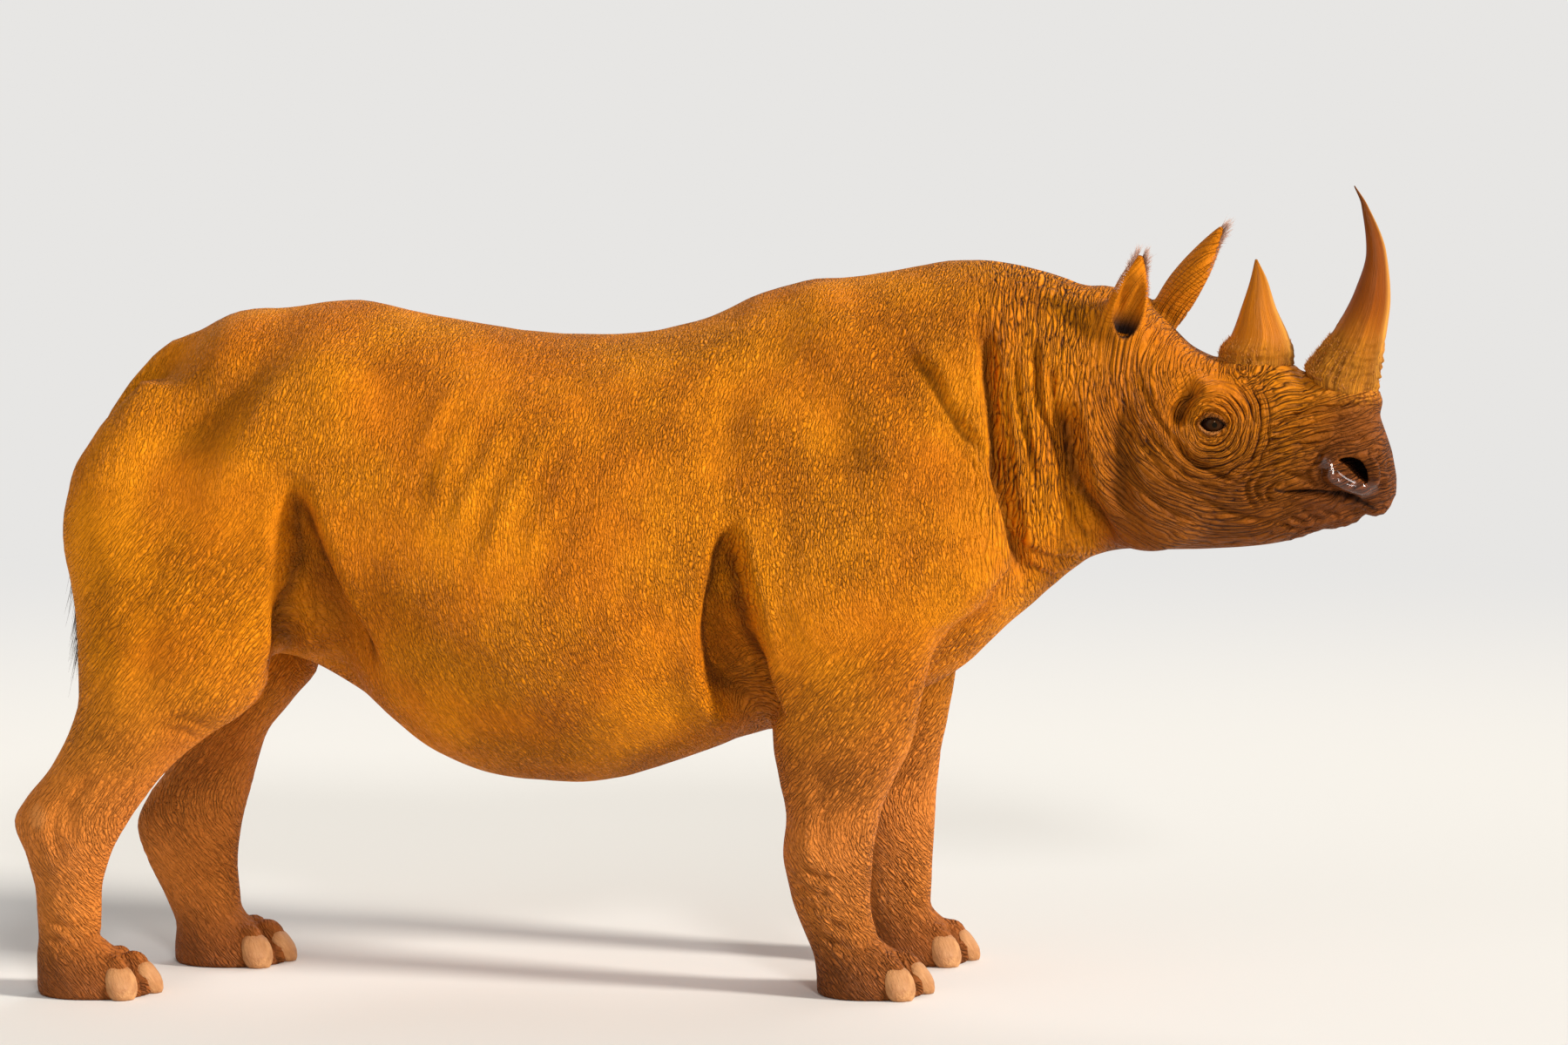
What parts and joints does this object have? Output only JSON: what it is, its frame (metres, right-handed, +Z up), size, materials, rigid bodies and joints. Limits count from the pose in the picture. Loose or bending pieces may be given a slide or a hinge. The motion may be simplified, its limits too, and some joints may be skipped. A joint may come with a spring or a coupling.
{
  "type": "black rhinoceros, life-size museum model",
  "caption": "Life-size standing black rhinoceros in amber evening light tones, near hind leg trailing, head turned a little to its right, hooked lip, long front horn and short rear horn.",
  "frame": {"origin": "on the floor, under the middle of the model's bounding box", "axes": "+X towards the nose, +Y to the animal's left, +Z up"},
  "size_m": [3.0757, 0.8878, 1.803],
  "materials": {
    "skin": "matt, wrinkled hide",
    "horn": "satin, fibrous at the base",
    "eye": "wet gloss",
    "nail": "satin, worn",
    "bristle": "coarse dark hair"
  },
  "bodies": {
    "root": {"horn_front": "horn", "horn_rear": "horn", "eye_right": "eye", "eye_left": "eye", "ear_right": "skin", "ear_left": "skin", "head": "skin", "lower_jaw": "skin", "neck": "skin", "trunk": "skin", "tail": "skin", "tail_tuft": "bristle", "leg_fore_right": "skin", "foot_fore_right": "skin", "nail_fore_right_1": "nail", "nail_fore_right_2": "nail", "nail_fore_right_3": "nail", "leg_fore_left": "skin", "foot_fore_left": "skin", "nail_fore_left_1": "nail", "nail_fore_left_2": "nail", "nail_fore_left_3": "nail", "leg_hind_right": "skin", "foot_hind_right": "skin", "nail_hind_right_1": "nail", "nail_hind_right_2": "nail", "nail_hind_right_3": "nail", "leg_hind_left": "skin", "foot_hind_left": "skin", "nail_hind_left_1": "nail", "nail_hind_left_2": "nail", "nail_hind_left_3": "nail"}
  },
  "joints": []
}
